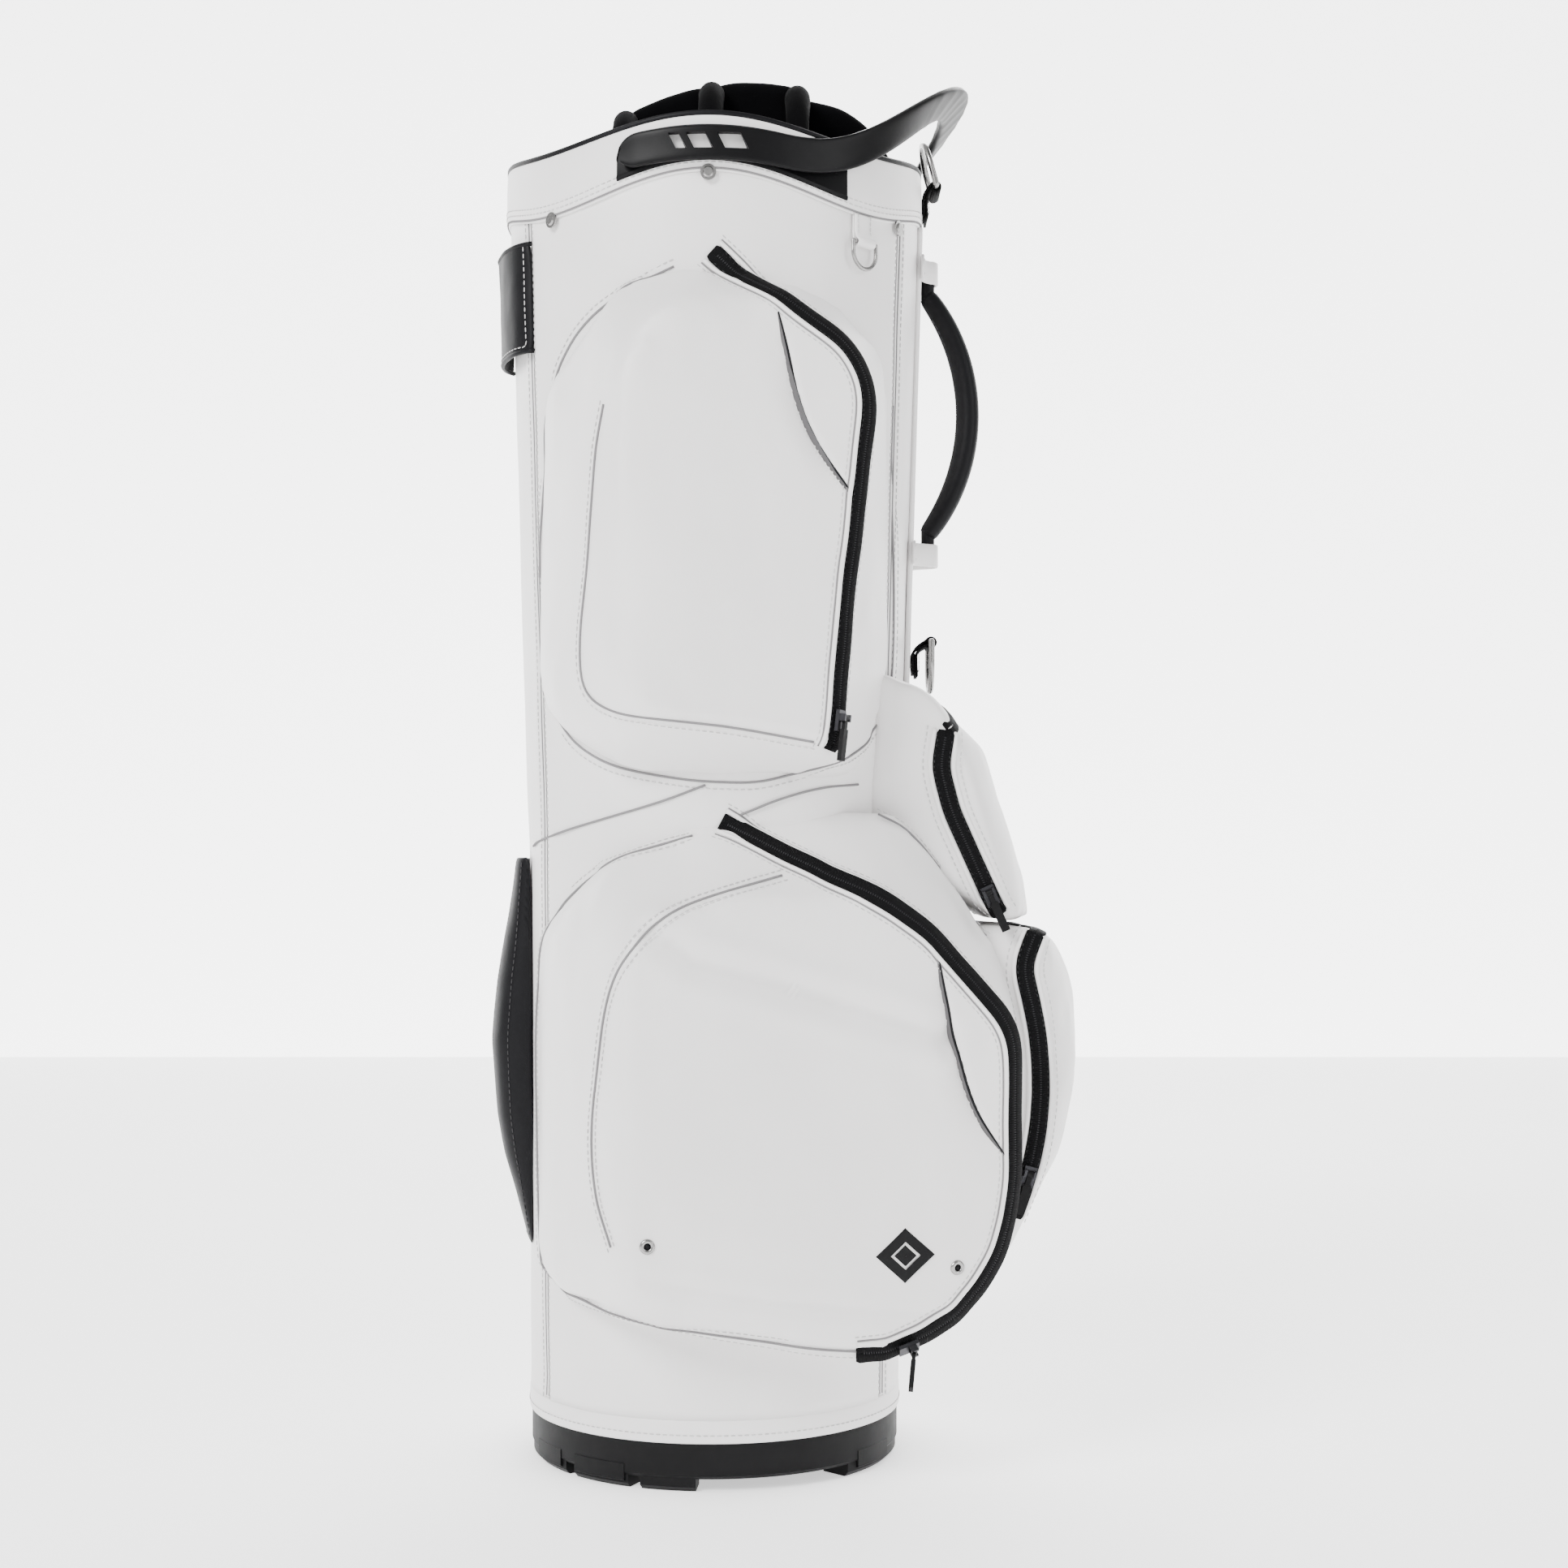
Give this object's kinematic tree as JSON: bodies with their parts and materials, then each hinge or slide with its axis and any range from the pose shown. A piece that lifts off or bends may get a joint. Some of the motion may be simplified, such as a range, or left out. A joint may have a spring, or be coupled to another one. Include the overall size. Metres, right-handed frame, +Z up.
{
  "type": "golf bag",
  "caption": "White cart-style golf bag with a padded divider top, moulded lift handle and base, side and front pockets with zips, strap rings and an umbrella holder.",
  "frame": {"origin": "centre of the flat base, on the surface that the bag stands on", "axes": "+Z up, +X towards the front pockets and the lift handle's grip, +Y towards the far side pockets"},
  "size_m": [0.384, 0.3634, 0.89],
  "materials": {
    "white_pu": "soft-touch grained polyurethane",
    "white_piping": "folded seam edge",
    "base_rubber": "moulded, satin",
    "tube_plastic": "plain",
    "stay_rod": "drawn",
    "bright_metal": "nickel plated",
    "handle_plastic": "moulded, satin",
    "divider_velour": "brushed velour over foam",
    "divider_fabric": "plain weave",
    "black_pu": "smooth polyurethane",
    "black_webbing": "ribbed webbing",
    "zip_tape": "coil zip tape",
    "slider_metal": "black lacquer",
    "pull_rubber": "moulded tab",
    "patch_rubber": "moulded patch"
  },
  "bodies": {
    "bag": {"base_cup": "base_rubber", "base_plate": "tube_plastic", "base_screws": "bright_metal", "inner_tube": "tube_plastic", "stay_rods": "stay_rod", "bottom_cuff": "white_pu", "back_panel": "white_pu", "side_panel_near": "white_pu", "side_panel_far": "white_pu", "spine_panel": "white_pu", "panel_piping": "white_piping", "collar_ring": "handle_plastic", "collar_band": "white_pu", "collar_piping": "black_webbing", "hood_snaps": "bright_metal", "lift_handle": "handle_plastic", "handle_plates": "handle_plastic", "handle_screws": "bright_metal", "divider_pads": "divider_velour", "divider_sheets": "divider_fabric", "umbrella_sleeve": "black_pu", "umbrella_pocket": "black_pu", "towel_tab": "white_pu", "strap_loops": "black_webbing", "handle_anchors": "black_webbing", "upper_gusset_near": "white_pu", "upper_panel_near": "white_pu", "upper_zip_near": "zip_tape", "upper_gusset_far": "white_pu", "upper_panel_far": "white_pu", "upper_zip_far": "zip_tape", "lower_gusset_near": "white_pu", "lower_panel_near": "white_pu", "lower_zip_near": "zip_tape", "lower_gusset_far": "white_pu", "lower_panel_far": "white_pu", "lower_zip_far": "zip_tape", "pocket_eyelets": "bright_metal", "emblem_patches": "patch_rubber", "front_gusset": "white_pu", "front_upper_panel": "white_pu", "front_lower_panel": "white_pu", "front_upper_zip": "zip_tape", "front_lower_zip": "zip_tape"},
    "strap_ring_upper": {"strap_ring_upper": "bright_metal"},
    "strap_ring_lower": {"strap_ring_lower": "bright_metal"},
    "towel_ring": {"towel_ring": "bright_metal"},
    "grab_handle": {"grab_handle": "black_webbing"},
    "upper_slider_near": {"upper_slider_near": "slider_metal"},
    "upper_slider_far": {"upper_slider_far": "slider_metal"},
    "upper_pull_near": {"upper_pull_near": "pull_rubber"},
    "upper_pull_far": {"upper_pull_far": "pull_rubber"},
    "lower_slider_near": {"lower_slider_near": "slider_metal"},
    "lower_slider_far": {"lower_slider_far": "slider_metal"},
    "lower_pull_near": {"lower_pull_near": "pull_rubber"},
    "lower_pull_far": {"lower_pull_far": "pull_rubber"},
    "front_upper_slider": {"front_upper_slider": "slider_metal"},
    "front_upper_pull": {"front_upper_pull": "pull_rubber"},
    "front_lower_slider": {"front_lower_slider": "slider_metal"},
    "front_lower_pull": {"front_lower_pull": "pull_rubber"}
  },
  "joints": [
    {"name": "upper_zip_slide_near", "type": "slide", "parent": "bag", "child": "upper_slider_near", "axis": [0.1095, 0.0293, 0.9936], "range_m": [0, 0.165]},
    {"name": "upper_pull_near", "type": "hinge", "parent": "upper_slider_near", "child": "upper_pull_near", "pos_m": [0.08249, -0.14053, 0.47072], "axis": [-0.4956, -0.8648, 0.0802], "range_deg": [0, 160]},
    {"name": "upper_zip_slide_far", "type": "slide", "parent": "bag", "child": "upper_slider_far", "axis": [0.1095, -0.0293, 0.9936], "range_m": [0, 0.165]},
    {"name": "upper_pull_far", "type": "hinge", "parent": "upper_slider_far", "child": "upper_pull_far", "pos_m": [0.08249, 0.14053, 0.47072], "axis": [0.4956, -0.8648, -0.0802], "range_deg": [0, 160]},
    {"name": "lower_zip_slide_near", "type": "hinge", "parent": "bag", "child": "lower_slider_near", "pos_m": [0.09074, -0.14547, 0.18846], "axis": [0.2588, -0.9659, 0], "range_deg": [0, 66]},
    {"name": "lower_pull_near", "type": "hinge", "parent": "lower_slider_near", "child": "lower_pull_near", "pos_m": [0.12394, -0.13771, 0.09007], "axis": [-0.028, -0.7396, 0.6725], "range_deg": [-60, 100]},
    {"name": "lower_zip_slide_far", "type": "hinge", "parent": "bag", "child": "lower_slider_far", "pos_m": [0.09074, 0.14547, 0.18846], "axis": [-0.2588, -0.9659, 0], "range_deg": [0, 66]},
    {"name": "lower_pull_far", "type": "hinge", "parent": "lower_slider_far", "child": "lower_pull_far", "pos_m": [0.12394, 0.13771, 0.09007], "axis": [0.028, -0.7396, -0.6725], "range_deg": [-60, 100]},
    {"name": "front_upper_zip_slide", "type": "slide", "parent": "bag", "child": "front_upper_slider", "axis": [-0.4114, 0, 0.9114], "range_m": [0, 0.042]},
    {"name": "front_upper_pull", "type": "hinge", "parent": "front_upper_slider", "child": "front_upper_pull", "pos_m": [0.17444, -0.0781, 0.36511], "axis": [-0.9114, 0, -0.4114], "range_deg": [0, 160]},
    {"name": "front_lower_zip_slide", "type": "hinge", "parent": "bag", "child": "front_lower_slider", "pos_m": [-0.01143, -0.0735, 0.24528], "axis": [0, -1, 0], "range_deg": [0, 26]},
    {"name": "front_lower_pull", "type": "hinge", "parent": "front_lower_slider", "child": "front_lower_pull", "pos_m": [0.20014, -0.0781, 0.18868], "axis": [-0.9636, 0, 0.2672], "range_deg": [0, 160]},
    {"name": "strap_ring_upper_swing", "type": "hinge", "parent": "bag", "child": "strap_ring_upper", "pos_m": [0.145, 0, 0.828], "axis": [0, 1, 0], "range_deg": [0, 190]},
    {"name": "strap_ring_lower_swing", "type": "hinge", "parent": "bag", "child": "strap_ring_lower", "pos_m": [0.142, 0, 0.529], "axis": [0, 1, 0], "range_deg": [-165, 3]},
    {"name": "towel_ring_swing", "type": "hinge", "parent": "bag", "child": "towel_ring", "pos_m": [0.09544, -0.09883, 0.767], "axis": [0.7193, 0.6947, 0], "range_deg": [-150, 5]},
    {"name": "grab_handle_flop", "type": "hinge", "parent": "bag", "child": "grab_handle", "pos_m": [0.14064, 0, 0.68], "axis": [0, 0, 1], "range_deg": [-60, 60]}
  ]
}
